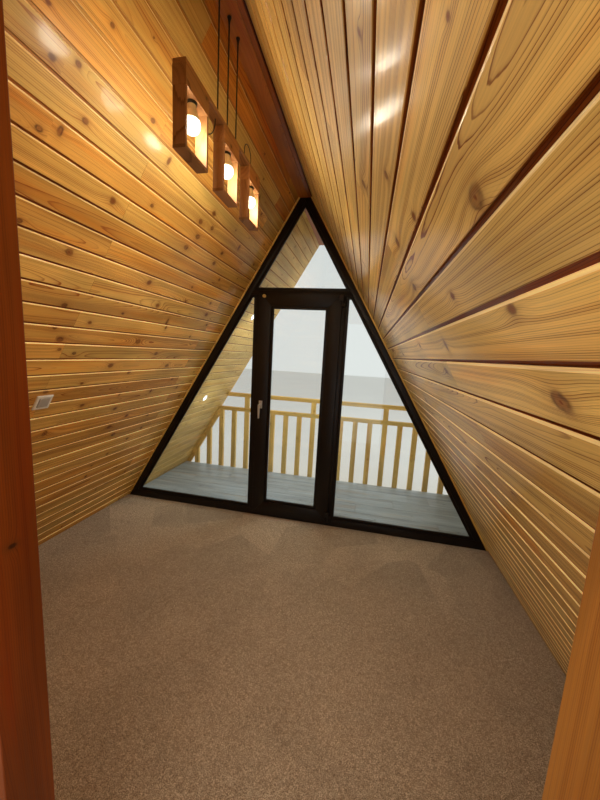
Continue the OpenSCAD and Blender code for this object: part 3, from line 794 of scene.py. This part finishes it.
def timber(node, kind, material, bevel=0.002, bright=1.0, warm=0.15, seed=1, tones=(),
           edge_on=0.0, mark=None):
    """A CAD node of solid wood: each of its bars gets its own grain. tones gives the first
    bars' brightness and redness, and mark the first bar's knot: place, place, radius."""
    mesh = eased(node, bevel, 2)
    part = islands(mesh)
    rng = random.Random(seed)
    co = np.array([v.co for v in mesh.vertices])
    looks = {}
    for key in sorted(set(part), key=lambda k: tuple(round(c, 4) for c in co[k])):
        mine = co[[i for i, p in enumerate(part) if p == key]]
        turn, (u0, u1), (s0, s1), d0 = bar_frame(mine, *AXES[kind])
        pith, tone = draw(rng, s1 - s0, bright, warm, edge_on=edge_on)
        knot = ((rng.random() - 0.5) * (u1 - u0), rng.random() * (s1 - s0),
                rng.uniform(0.003, 0.007))
        if mark and not looks:
            knot = (mark[0] - (u0 + u1) / 2, mark[1] - s0, mark[2])
        if len(looks) < len(tones):
            tone = (*tones[len(looks)], tone[2])
        if s1 - s0 <= KNOT_WIDTH:
            knot = FAR_KNOT
        looks[key] = (turn, ((u0 + u1) / 2, s0, d0), (pith, knot, tone))
    faces = []
    for polygon in mesh.polygons:
        turn, origin, look = looks[part[polygon.vertices[0]]]
        faces.append(([turn @ co[v] - origin for v in polygon.vertices], *look))
    write_grain(mesh, faces)
    place_piece(node + "_timber", mesh, material, body_of(node), [node])


for node, kind in (("floor_joists", "X"), ("left_rafters", "L"), ("right_rafters", "R"),
                   ("ridge_board", "Y")):
    timber(node, kind, FRAMING, seed=len(node))
timber("left_barge_board", "L", PALE, 0.003, 0.95, 0.3, 5)
timber("right_barge_board", "R", PALE, 0.003, 0.95, 0.3, 6)
timber("gable_trim", "R", LINING, 0.0015, 1.1, 0.0, 7)
timber("railing_rails", "X", PALE, 0.004, 1.12, 0.05, 8)
timber("railing_uprights", "Z", PALE, 0.003, 1.12, 0.05, 9)
timber("railing_end_bars", "R", PALE, 0.003, seed=10)
# The photo shows a dark left jamb with one knot, and a redder right one
# The left jamb's dark tone is partly painted shade, partly its own redder wood
timber("doorway_jambs", "Z", JAMB, 0.0025, seed=11,
       tones=[(0.38, 1.6), (0.66, 0.6)], edge_on=1.0,
       mark=(1.229 + CARPET_Z, GABLE_Y - 2.446, 0.0048))
timber("doorway_head", "X", JAMB, 0.0025, seed=12)
timber("door_peg", "Y", PALE, 0.0015, seed=13)
timber("lamp_strip", "Y", LAMP_WOOD, 0.001, 1.2, seed=14)
timber("lamp_blocks", "Y", LAMP_WOOD, 0.0015, 1.1, seed=15)

for node in ("gable_sill", "gable_left_raker", "gable_right_raker", "gable_transom",
             "gable_posts", "gable_beads", "door_stiles", "door_rails", "door_beads"):
    dressed(node, FRAME_BROWN, 0.002 if "bead" not in node else 0.0012)
for node in ("hinge_brackets", "door_hinges"):
    dressed(node, HINGE, 0.0008)
dressed("handle_rose", HANDLE, 0.002, 3)
dressed("door_handle", HANDLE, 0.0025, 3)
dressed("lamp_holders", BLACK, 0.001)
for node in ("left_roofing", "right_roofing", "ridge_cap"):
    dressed(node, ROOF_SHEET, 0.0008)


# The strip under the ridge: its joint, the dark gap's near edge and depth, and a hair of room
RIDGE_JOINT, RIDGE_GAP, RIDGE_RECESS, HAIR = 0.023, 0.047, 0.008, 0.0015


def ridge_strip():
    """The flat ceiling under the ridge: two boards darkened as painted shade, and a dark gap
    along the right slope, its shadow painted on a recessed, nearly black sheet.
    """
    lo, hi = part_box("ridge_ceiling_strip")
    ends = (lo.y - GABLE_Y, hi.y - GABLE_Y)
    t = LINING_T
    joint, gap = RIDGE_JOINT, RIDGE_GAP
    low, back = slope_x(STRIP_Z, -PLAY), slope_x(STRIP_Z + t, -PLAY)
    floor = slope_x(STRIP_Z + RIDGE_RECESS, -PLAY)
    boards = Boards()
    # Painted shade: both boards darker and redder, the recessed sheet nearly black for the gap's
    # shadow
    pieces = (([(-low, 0), (joint, 0), (joint, t), (-back, t)], 0.62, 1.1),
              ([(joint + HAIR, 0), (gap, 0), (gap, t), (joint + HAIR, t)], 0.42, 1.4),
              ([(gap, RIDGE_RECESS), (floor, RIDGE_RECESS), (back, t), (gap, t)], 0.12, 2.0))
    rng = random.Random(16)
    for profile, bright, warm in pieces:
        pith, tone = draw(rng, 0.06)
        boards.prism(lambda u, s, d: at(s, u, STRIP_Z + d), profile, ends,
                     (pith, (bright, warm, tone[2])))
    boards.make("ridge_strip_boards", JAMB, "lining", ["ridge_ceiling_strip"])


ridge_strip()


PLATE_Y, PLATE_Z = -1.504, 1.270
PLATE_EASE = 0.0006
SQUARE = [(-1, -1), (1, -1), (1, 1), (-1, 1)]


def square_turned(name, rings, material, nodes=()):
    """A square plate on the left slope, from (half width, height off the face) rings."""
    bm = bmesh.new()
    q = PLATE_Z / SIN
    loops = []
    for half, height in rings:
        loops.append([bm.verts.new(on_slope(-1, q + b * half, PLATE_Y + a * half, -height))
                      for a, b in SQUARE])
    for inner, outer in zip(loops, loops[1:]):
        for i in range(4):
            j = (i + 1) % 4
            bm.faces.new([inner[i], inner[j], outer[j], outer[i]])
    bm.faces.new(loops[0])
    bm.faces.new(loops[-1])
    turn_out(bm)
    bmesh.ops.bevel(bm, geom=[e for e in bm.edges if e.calc_face_angle(0) > 0.4],
                    offset=PLATE_EASE, segments=2, affect="EDGES", clamp_overlap=True)
    place_made(bm, name, material, nodes)


square_turned("wall_plate_frame", [(0.043, 0.0), (0.043, 0.006), (0.0395, 0.009), (0.030, 0.009),
                                   (0.0285, 0.0055)], WHITE, ["wall_plate"])
square_turned("wall_plate_panel", [(0.0275, 0.0050), (0.0275, 0.0105), (0.0255, 0.0120)], PANEL)


# The lamp. A frame's width, board and its eased edges
FRAME_W, FRAME_T, FRAME_EASE = 0.150, 0.011, 0.0012
LAMP_WIDTH = 0.046


def frames_of_lamp():
    """Three open frames: a bottom board and two side boards each."""
    lo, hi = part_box("lamp_frames")
    pitch = (hi.y - lo.y - FRAME_W) / 2
    boards = Boards()
    rng = random.Random(77)
    t = FRAME_T
    for i in range(3):
        y0 = lo.y + i * pitch
        y1 = y0 + FRAME_W
        for a, b in ((y0, y0 + t), (y1 - t, y1)):
            boards.prism(lambda u, s, d: Vector((s, d, u)), rounded(lo.x, a, hi.x, b, FRAME_EASE),
                         (lo.z + t, hi.z), draw(rng, LAMP_WIDTH, 1.0, 0.1))
        boards.prism(lambda u, s, d: Vector((s, u, d)),
                     rounded(lo.x, lo.z, hi.x, lo.z + t, FRAME_EASE), (y0, y1),
                     draw(rng, LAMP_WIDTH, 1.0, 0.1))
    boards.make("lamp_frame_boards", LAMP_WOOD, "lamp_wood", ["lamp_frames"])


frames_of_lamp()


LATHE_STEPS = 48


def lathe(name, spots, profile, material, nodes=(), axes=(X, Y, Z)):
    """Turns a profile of (radius, height) about each spot's axis and closes it."""
    bm = bmesh.new()
    side, other, axis = axes
    for spot in spots:
        rings = []
        for r, height in profile:
            turns = [2 * math.pi * i / LATHE_STEPS for i in range(LATHE_STEPS if r else 1)]
            rings.append([bm.verts.new(spot + side * (r * math.cos(a)) + other * (r * math.sin(a))
                                       + axis * height) for a in turns])
        for low, high in zip(rings, rings[1:]):
            for i in range(LATHE_STEPS):
                j = (i + 1) % LATHE_STEPS
                corners = dict.fromkeys((low[i % len(low)], low[j % len(low)],
                                         high[j % len(high)], high[i % len(high)]))
                if len(corners) > 2:
                    bm.faces.new(list(corners))
    place_made(bm, name, material, nodes)


LAMP_X, LAMP_Y = -0.027, -1.483
BULB_Y = (-1.759, LAMP_Y, -1.207)
BLOCK_Z = 2.406
BULB_R = 0.030
BULB_DROP = 0.068
# The housing below a block, from its holder down to the globe
HOUSING_RINGS = [(0, -0.008), (0.014, -0.008), (0.0145, -0.016), (0.0175, -0.026),
                 (0.0225, -0.038), (0.0265, -0.048), (0.0285, -0.0555), (0.0270, -0.0565),
                 (0, -0.0565)]
# Degrees above the globe's middle where its housing ends
GLOBE_TOP = 23
GLOBE_STEPS = 12


def bulbs():
    spots = [at(LAMP_X, y, BLOCK_Z) for y in BULB_Y]
    globe = []
    for i in range(GLOBE_STEPS + 1):
        a = math.radians(GLOBE_TOP - i * (GLOBE_TOP + 90) / GLOBE_STEPS)
        globe.append((BULB_R * math.cos(a), -BULB_DROP + BULB_R * math.sin(a)))
    globe = [(0, globe[0][1]), *globe[:-1], (0, globe[-1][1])]
    lathe("bulb_globes", spots, globe, BULB_GLOW, ["lamp_bulbs"])
    lathe("bulb_housings", spots, HOUSING_RINGS, HOUSING)


bulbs()


SPOT_Y = 0.503
SPOT_HEIGHTS = (1.033, 1.957)
SPOT_RING = [(0.0305, 0.0), (0.042, 0.0), (0.042, 0.002), (0.0405, 0.0038), (0.037, 0.004),
             (0.033, 0.0034), (0.0305, 0.0016), (0.0305, 0.0)]
SPOT_LENS = [(0, 0.0), (0.030, 0.0), (0.030, 0.0012), (0.020, 0.0019), (0, 0.0022)]


def spots():
    for side, name in SIDES:
        along, out, _ = slope_axes(side)
        points = [at(side * slope_x(z, 0), SPOT_Y, z) for z in SPOT_HEIGHTS]
        axes = (Y, along, -out)
        lathe(name + "_spot_rings", points, SPOT_RING, WHITE,
              ["soffit_spots"] if side < 0 else [], axes)
        lathe(name + "_spot_lenses", points, SPOT_LENS, SPOT_GLOW, axes=axes)


spots()


# Cords

CORD_Z0, CORD_Z1 = 2.481, 2.9
CORD_R, CABLE_R = 0.003, 0.002
CORD_STEP = 0.088
CORD_PARTS = 16
HOOK = [(0, 0), (0.008, 0), (0.0078, -0.004), (0.0052, -0.011), (0.0038, -0.019),
        (0.0034, -0.024), (0, -0.024)]
# The cable's bend beside the first frame, and its loop above the last: middle and radius
BEND_Y, BEND_Z, BEND_R = -1.684, 2.467, 0.095
LOOP_Y, LOOP_R, LOOP_LEG = -1.25, 0.042, 0.048


def cord_piece(name, points, radius):
    data = bpy.data.curves.new(name, "CURVE")
    data.dimensions = "3D"
    data.bevel_depth = radius
    data.bevel_resolution = 4
    data.use_fill_caps = True
    line = data.splines.new("POLY")
    line.points.add(len(points) - 1)
    for point, place in zip(line.points, points):
        point.co = (*place, 1)
    piece = add_object(name, data)
    data.materials.append(BLACK)
    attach(piece, "root")
    return piece


def cable_arc(y, z, radius, turn, steps):
    """An arc in the lamp's plane, from its +Y end through so many degrees."""
    angles = [math.radians(turn * k / steps) for k in range(steps + 1)]
    return [at(LAMP_X, y + radius * math.cos(a), z + radius * math.sin(a)) for a in angles]


def cable_leg(y, parts):
    return [at(LAMP_X, y, CORD_Z0 + LOOP_LEG * k / 4) for k in parts]


def cords():
    places = [LAMP_Y + i * CORD_STEP for i in (-1, 0, 1)]
    lathe("ceiling_hooks", [at(LAMP_X, y, CORD_Z1) for y in places], HOOK, BLACK)
    for i, y in enumerate(places):
        points = [at(LAMP_X, y, CORD_Z1 - (CORD_Z1 - CORD_Z0) * k / CORD_PARTS)
                  for k in range(CORD_PARTS + 1)]
        cord = cord_piece("lamp_cord_%d" % (i + 1), points, CORD_R)
        if i == 0:
            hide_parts("lamp_cords")
    bend = cable_arc(BEND_Y, BEND_Z, BEND_R, -90, 18)
    cord_piece("lamp_cable_bend", bend, CABLE_R)
    loop = (cable_leg(LOOP_Y + LOOP_R, range(4)) +
            cable_arc(LOOP_Y, CORD_Z0 + LOOP_LEG, LOOP_R, 180, 24) +
            cable_leg(LOOP_Y - LOOP_R, (3, 2, 1, 0)))
    cord_piece("lamp_cable_loop", loop, CABLE_R)


cords()


PANE_T = 0.004


def panes(node, name):
    """Two sheets of glass with the space between them."""
    lo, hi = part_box(node)
    share = PANE_T / (hi.y - lo.y)
    bm = bmesh.new()
    for edge in (lo.y, hi.y):
        sheet = whole_faces(node)
        for v in sheet.verts:
            v.co.y = edge + (v.co.y - edge) * share
        turn_out(sheet)
        part = mesh_of(sheet, "sheet")
        bm.from_mesh(part)
        bpy.data.meshes.remove(part)
    place_piece(name, mesh_of(bm, name), PANE, body_of(node), [node])


for node in ("top_light_glass", "side_light_glass", "door_glass"):
    panes(node, node + "_sheets")


# The pile's cell, how deep its edges are tucked in and how uneven it is
CARPET_CELL, CARPET_TUCK, CARPET_LIFT = 0.025, 0.0025, 0.0012


def carpet_lines(edges, start, count):
    """Where the carpet's cells meet in one direction, with its own edges among them."""
    return sorted({*edges, *(round(start + CARPET_CELL * i, 4) for i in range(count))})


def carpet():
    """A soft, slightly uneven pile, tucked in along its edges."""
    half = slope_x(0, -PLAY) - 0.0005
    xs = carpet_lines((-half, DOOR_X0, DOOR_X1, half), -1.75, 141)
    ys = carpet_lines((BACK_Y, PARTITION_Y, ROOM_Y, -0.0005), -3.075, 123)
    bm = bmesh.new()
    rng = random.Random(3)
    grid = {}

    def vertex(i, j):
        if (i, j) not in grid:
            grid[i, j] = bm.verts.new(at(xs[i], ys[j], rng.uniform(-CARPET_LIFT, 0.0)))
        return grid[i, j]

    for i in range(len(xs) - 1):
        for j in range(len(ys) - 1):
            x, y = (xs[i] + xs[i + 1]) / 2, (ys[j] + ys[j + 1]) / 2
            if PARTITION_Y < y < ROOM_Y and not DOOR_X0 < x < DOOR_X1:
                continue
            bm.faces.new([vertex(i, j), vertex(i + 1, j), vertex(i + 1, j + 1),
                          vertex(i, j + 1)])
    for v in bm.verts:
        if v.is_boundary:
            v.co.z = CARPET_Z - CARPET_TUCK
    made = bmesh.ops.extrude_face_region(bm, geom=list(bm.faces))
    for v in made["geom"]:
        if isinstance(v, bmesh.types.BMVert):
            v.co.z = CARPET_Z + FLOOR_LOW
    place_made(bm, "carpet_pile", CARPET, ["carpet"], 50)


carpet()


TILE_W, TILE_L, TILE_JOINT = 0.2, 1.2, 0.003
TILE_STARTS = (0.0, 0.4, 0.8)
TILE_LOW, TILE_EASE = -0.0095, 0.0008
GROUT_TOP = -0.0016


def tiles():
    """Planks of tile laid along the gable, in three staggered starts, on a bed of grout."""
    boards, bed = Boards(), Boards()
    rng = random.Random(19)
    half = slope_x(0, -PLAY) - 0.001
    row = 0
    y = DECK_END_Y
    while y > FRAME_D + 0.02:
        y0 = max(FRAME_D + 0.001, y - TILE_W)
        section = rounded(y0 + TILE_JOINT / 2, TILE_LOW, y - TILE_JOINT / 2, 0.0, TILE_EASE, 1)
        x = -half - TILE_STARTS[row % 3]
        while x < half:
            x0, x1 = max(-half, x), min(half, x + TILE_L - TILE_JOINT)
            if x1 - x0 > 0.03:
                look = draw(rng, y - y0, warm=0.0)
                knot = ((x0 + x1) / 2, (y + y0) / 2, 0.006)
                boards.prism(at, section, (x0, x1), look, [knot])
            x += TILE_L
        y -= TILE_W
        row += 1
    section = rounded(FRAME_D + 0.0005, FLOOR_LOW, DECK_END_Y - 0.0005, GROUT_TOP, 0.0005, 1)
    bed.prism(at, section, (-half, half), ((0, 0.1, 0), (1, 0, 0)))
    boards.make("balcony_tile_planks", TILE, "tiles", ["balcony_tiles"])
    bed.make("balcony_grout", GROUT, "tiles")


tiles()


SLIT = 0.0004
FLOOR_HALF, FLOOR_COUNT = 1.797, 25
# The roof boarding's lowest and highest edge on the slope, and its depths outside the lining
ROOF_LOW, ROOF_HIGH, ROOF_COUNT = -0.3579, 3.7547, 28
ROOF_D0, ROOF_D1 = 0.159, 0.181


def laid(name, node, spot, span, count, depths, ends, rng):
    """Boards of one width laid edge to edge over the span."""
    boards = Boards()
    pitch = (span[1] - span[0]) / count
    for i in range(count):
        s = span[0] + i * pitch
        boards.prism(spot, rounded(s + SLIT, depths[0], s + pitch - SLIT, depths[1], 0.001, 1),
                     ends, draw(rng, pitch))
    boards.make(name, FRAMING, "framing", [node])


def floor_and_roof_boards():
    rng = random.Random(23)
    laid("floor_planks", "floor_boards", lambda u, s, d: at(s, u, d), (-FLOOR_HALF, FLOOR_HALF),
         FLOOR_COUNT, (JOIST_TOP, FLOOR_LOW), (BACK_Y, DECK_END_Y), rng)
    for side, name in SIDES:
        laid(name + "_roof_planks", name + "_roof_boarding",
             lambda u, s, d: on_slope(side, s, u, d), (ROOF_LOW, ROOF_HIGH), ROOF_COUNT,
             (ROOF_D0, ROOF_D1), (BACK_Y, ROOF_END_Y), rng)


floor_and_roof_boards()


# The narrowest top and the least height of a board of the partition
NARROWEST, LOWEST = 0.004, 0.012


def partition():
    """Boarded faces on both sides of a core, cut by the slopes."""
    t = LINING_T
    x_left, x_right = DOOR_X0 - JAMB_T, DOOR_X1 + JAMB_T
    for name, x0, x1, z in (("partition_left", -math.inf, x_left, FLOOR_LOW),
                            ("partition_header", x_left, x_right, DOOR_TOP + JAMB_T),
                            ("partition_right", x_right, math.inf, FLOOR_LOW)):
        boards = Boards()
        rng = random.Random(len(name))

        def left(z, d, x0=x0):
            return max(x0, -slope_x(z, -PLAY))

        def right(z, d, x1=x1):
            return min(x1, slope_x(z, -PLAY))

        def width(z):
            return right(z, 0) - left(z, 0)

        while z < STRIP_Z - NARROWEST:
            top = min(z + PITCH, STRIP_Z)
            if width(top) < 0.01 and width(z) < 0.02:
                break
            high = top - HAIR
            while width(high) < NARROWEST and high > z:
                high -= 0.002
            if high - z > LOWEST:
                for y0, y1, r, steps, bright, warm in (
                        (PARTITION_Y, PARTITION_Y + t, 0.002, 2, 1.0, 0.2),
                        (ROOM_Y - t, ROOM_Y, 0.002, 2, 1.0, 0.2),
                        (PARTITION_Y + t, ROOM_Y - t, 0.001, 1, 0.8, 0.0)):
                    boards.prism(lambda u, s, d: at(u, d, s), rounded(z, y0, high, y1, r, steps),
                                 (left, right), draw(rng, PITCH, bright, warm))
            z = top
        boards.make(name + "_boards", LINING, "lining", [name])


partition()


# Studio

# Soft lights inside: name, place, what they face, size in m and power in W
AREAS = [
    ("room_high", (0.0, -1.25, 2.1), (0.0, -1.2, 0.0), (0.3, 1.7), 3.9),
    ("landing_high", (0.1, -2.85, 2.0), (0.2, -2.85, 0.0), (0.4, 0.4), 2.0),
    ("landing_back", (0.3, -3.6, 1.3), (0.3, 0.0, 1.1), (1.4, 1.4), 4.8),
    ("balcony_high", (0.0, 0.6, 2.2), (0.0, 0.6, 0.0), (0.25, 0.7), 4.2),
    ("balcony_front", (0.0, 0.12, 1.7), (0.0, 1.1, 0.7), (0.9, 0.1), 8.5)]
SOFT_POINTS = [
    ("lamp_soft", (0.1, -1.45, 1.85), 1.1, 0.25),
    ("room_soft", (0.0, -1.0, 1.2), 2.35, 0.35)]
PLAIN_LIGHT = (1.0, 1.0, 1.0)
LANDING_LIGHT = (1.0, 0.84, 0.6)
SOFT_LIGHT = (1.0, 0.94, 0.85)
SPOT_LIGHT = (0.88, 0.95, 1.0)
BULB_LIGHT = (1.0, 0.95, 0.78)
OUTSIDE_W = 220
SPOT_W = 0.8
BULB_W = 3.7
# A spot's light hangs this far in and below its lens
SPOT_IN, SPOT_BELOW = 0.17, 0.11
# The world as a light, and as what the camera sees
WORLD_LIGHT, WORLD_SOFT = (1.0, 0.98, 0.95, 1), 0.78
WORLD_SEEN = (0.86, 0.86, 0.85, 1)
FLOOR_REACH = 30


def light(kind, name, place, watts, colour):
    lamp = add_object(name, bpy.data.lights.new(name, kind))
    lamp.data.energy = watts
    lamp.data.color = colour
    lamp.location = place
    lamp.visible_camera = lamp.visible_transmission = lamp.visible_glossy = False
    return lamp


def area(name, place, toward, size, watts, colour):
    lamp = light("AREA", name, place, watts, colour)
    lamp.data.shape = "RECTANGLE"
    lamp.data.size, lamp.data.size_y = size
    lamp.rotation_mode = "QUATERNION"
    lamp.rotation_quaternion = (Vector(toward) - Vector(place)).to_track_quat("-Z", "Y")
    return lamp


def point(name, place, watts, radius, colour):
    lamp = light("POINT", name, place, watts, colour)
    lamp.data.shadow_soft_size = radius
    return lamp


def world():
    """A pale world that camera, glossy and transmitted rays see, and a softer one for light."""
    g = Graph("studio", bpy.data.worlds.new("studio"))
    bpy.context.scene.world = g.owner
    path = g.add("LightPath").outputs
    seen = g.math("MAXIMUM", path["Is Camera Ray"], path["Is Glossy Ray"])
    seen = g.math("MAXIMUM", seen, path["Is Transmission Ray"])
    soft = g.out("Background", {"Color": WORLD_LIGHT, "Strength": WORLD_SOFT})
    pale = g.out("Background", {"Color": WORLD_SEEN, "Strength": 1.0})
    g.add("OutputWorld", {0: g.out("MixShader", {0: seen, 1: soft, 2: pale})})


def studio():
    mesh = bpy.data.meshes.new("studio_floor")
    corners = [(x * FLOOR_REACH, y * FLOOR_REACH, 0) for x, y in SQUARE]
    mesh.from_pydata(corners, [], [(0, 1, 2, 3)])
    mesh.materials.append(floor_material())
    add_object("studio_floor", mesh)
    world()
    for name, place, toward, size, watts in AREAS:
        colour = LANDING_LIGHT if name.startswith("landing") else PLAIN_LIGHT
        area(name, at(*place), at(*toward), size, watts, colour)
    outside = area("outside", (5, 6, 7), (0, 0, 1.5), (4, 4), OUTSIDE_W, PLAIN_LIGHT)
    outside.visible_glossy = outside.visible_transmission = True
    for name, place, watts, radius in SOFT_POINTS:
        point(name, at(*place), watts, radius, SOFT_LIGHT)
    for i, (side, z) in enumerate((side, z) for side in (-1, 1) for z in SPOT_HEIGHTS):
        place = at(side * (slope_x(z, 0) - SPOT_IN), SPOT_Y, z - SPOT_BELOW)
        point("spot_light_%d" % i, place, SPOT_W, 0.05, SPOT_LIGHT)
    for i, y in enumerate(BULB_Y):
        place = at(LAMP_X, y, BLOCK_Z - BULB_DROP)
        point("bulb_light_%d" % i, place, BULB_W, 0.036, BULB_LIGHT).visible_glossy = True
    bpy.data.objects["bulb_globes"].visible_shadow = False


studio()
bpy.context.scene.view_settings.view_transform = "Standard"
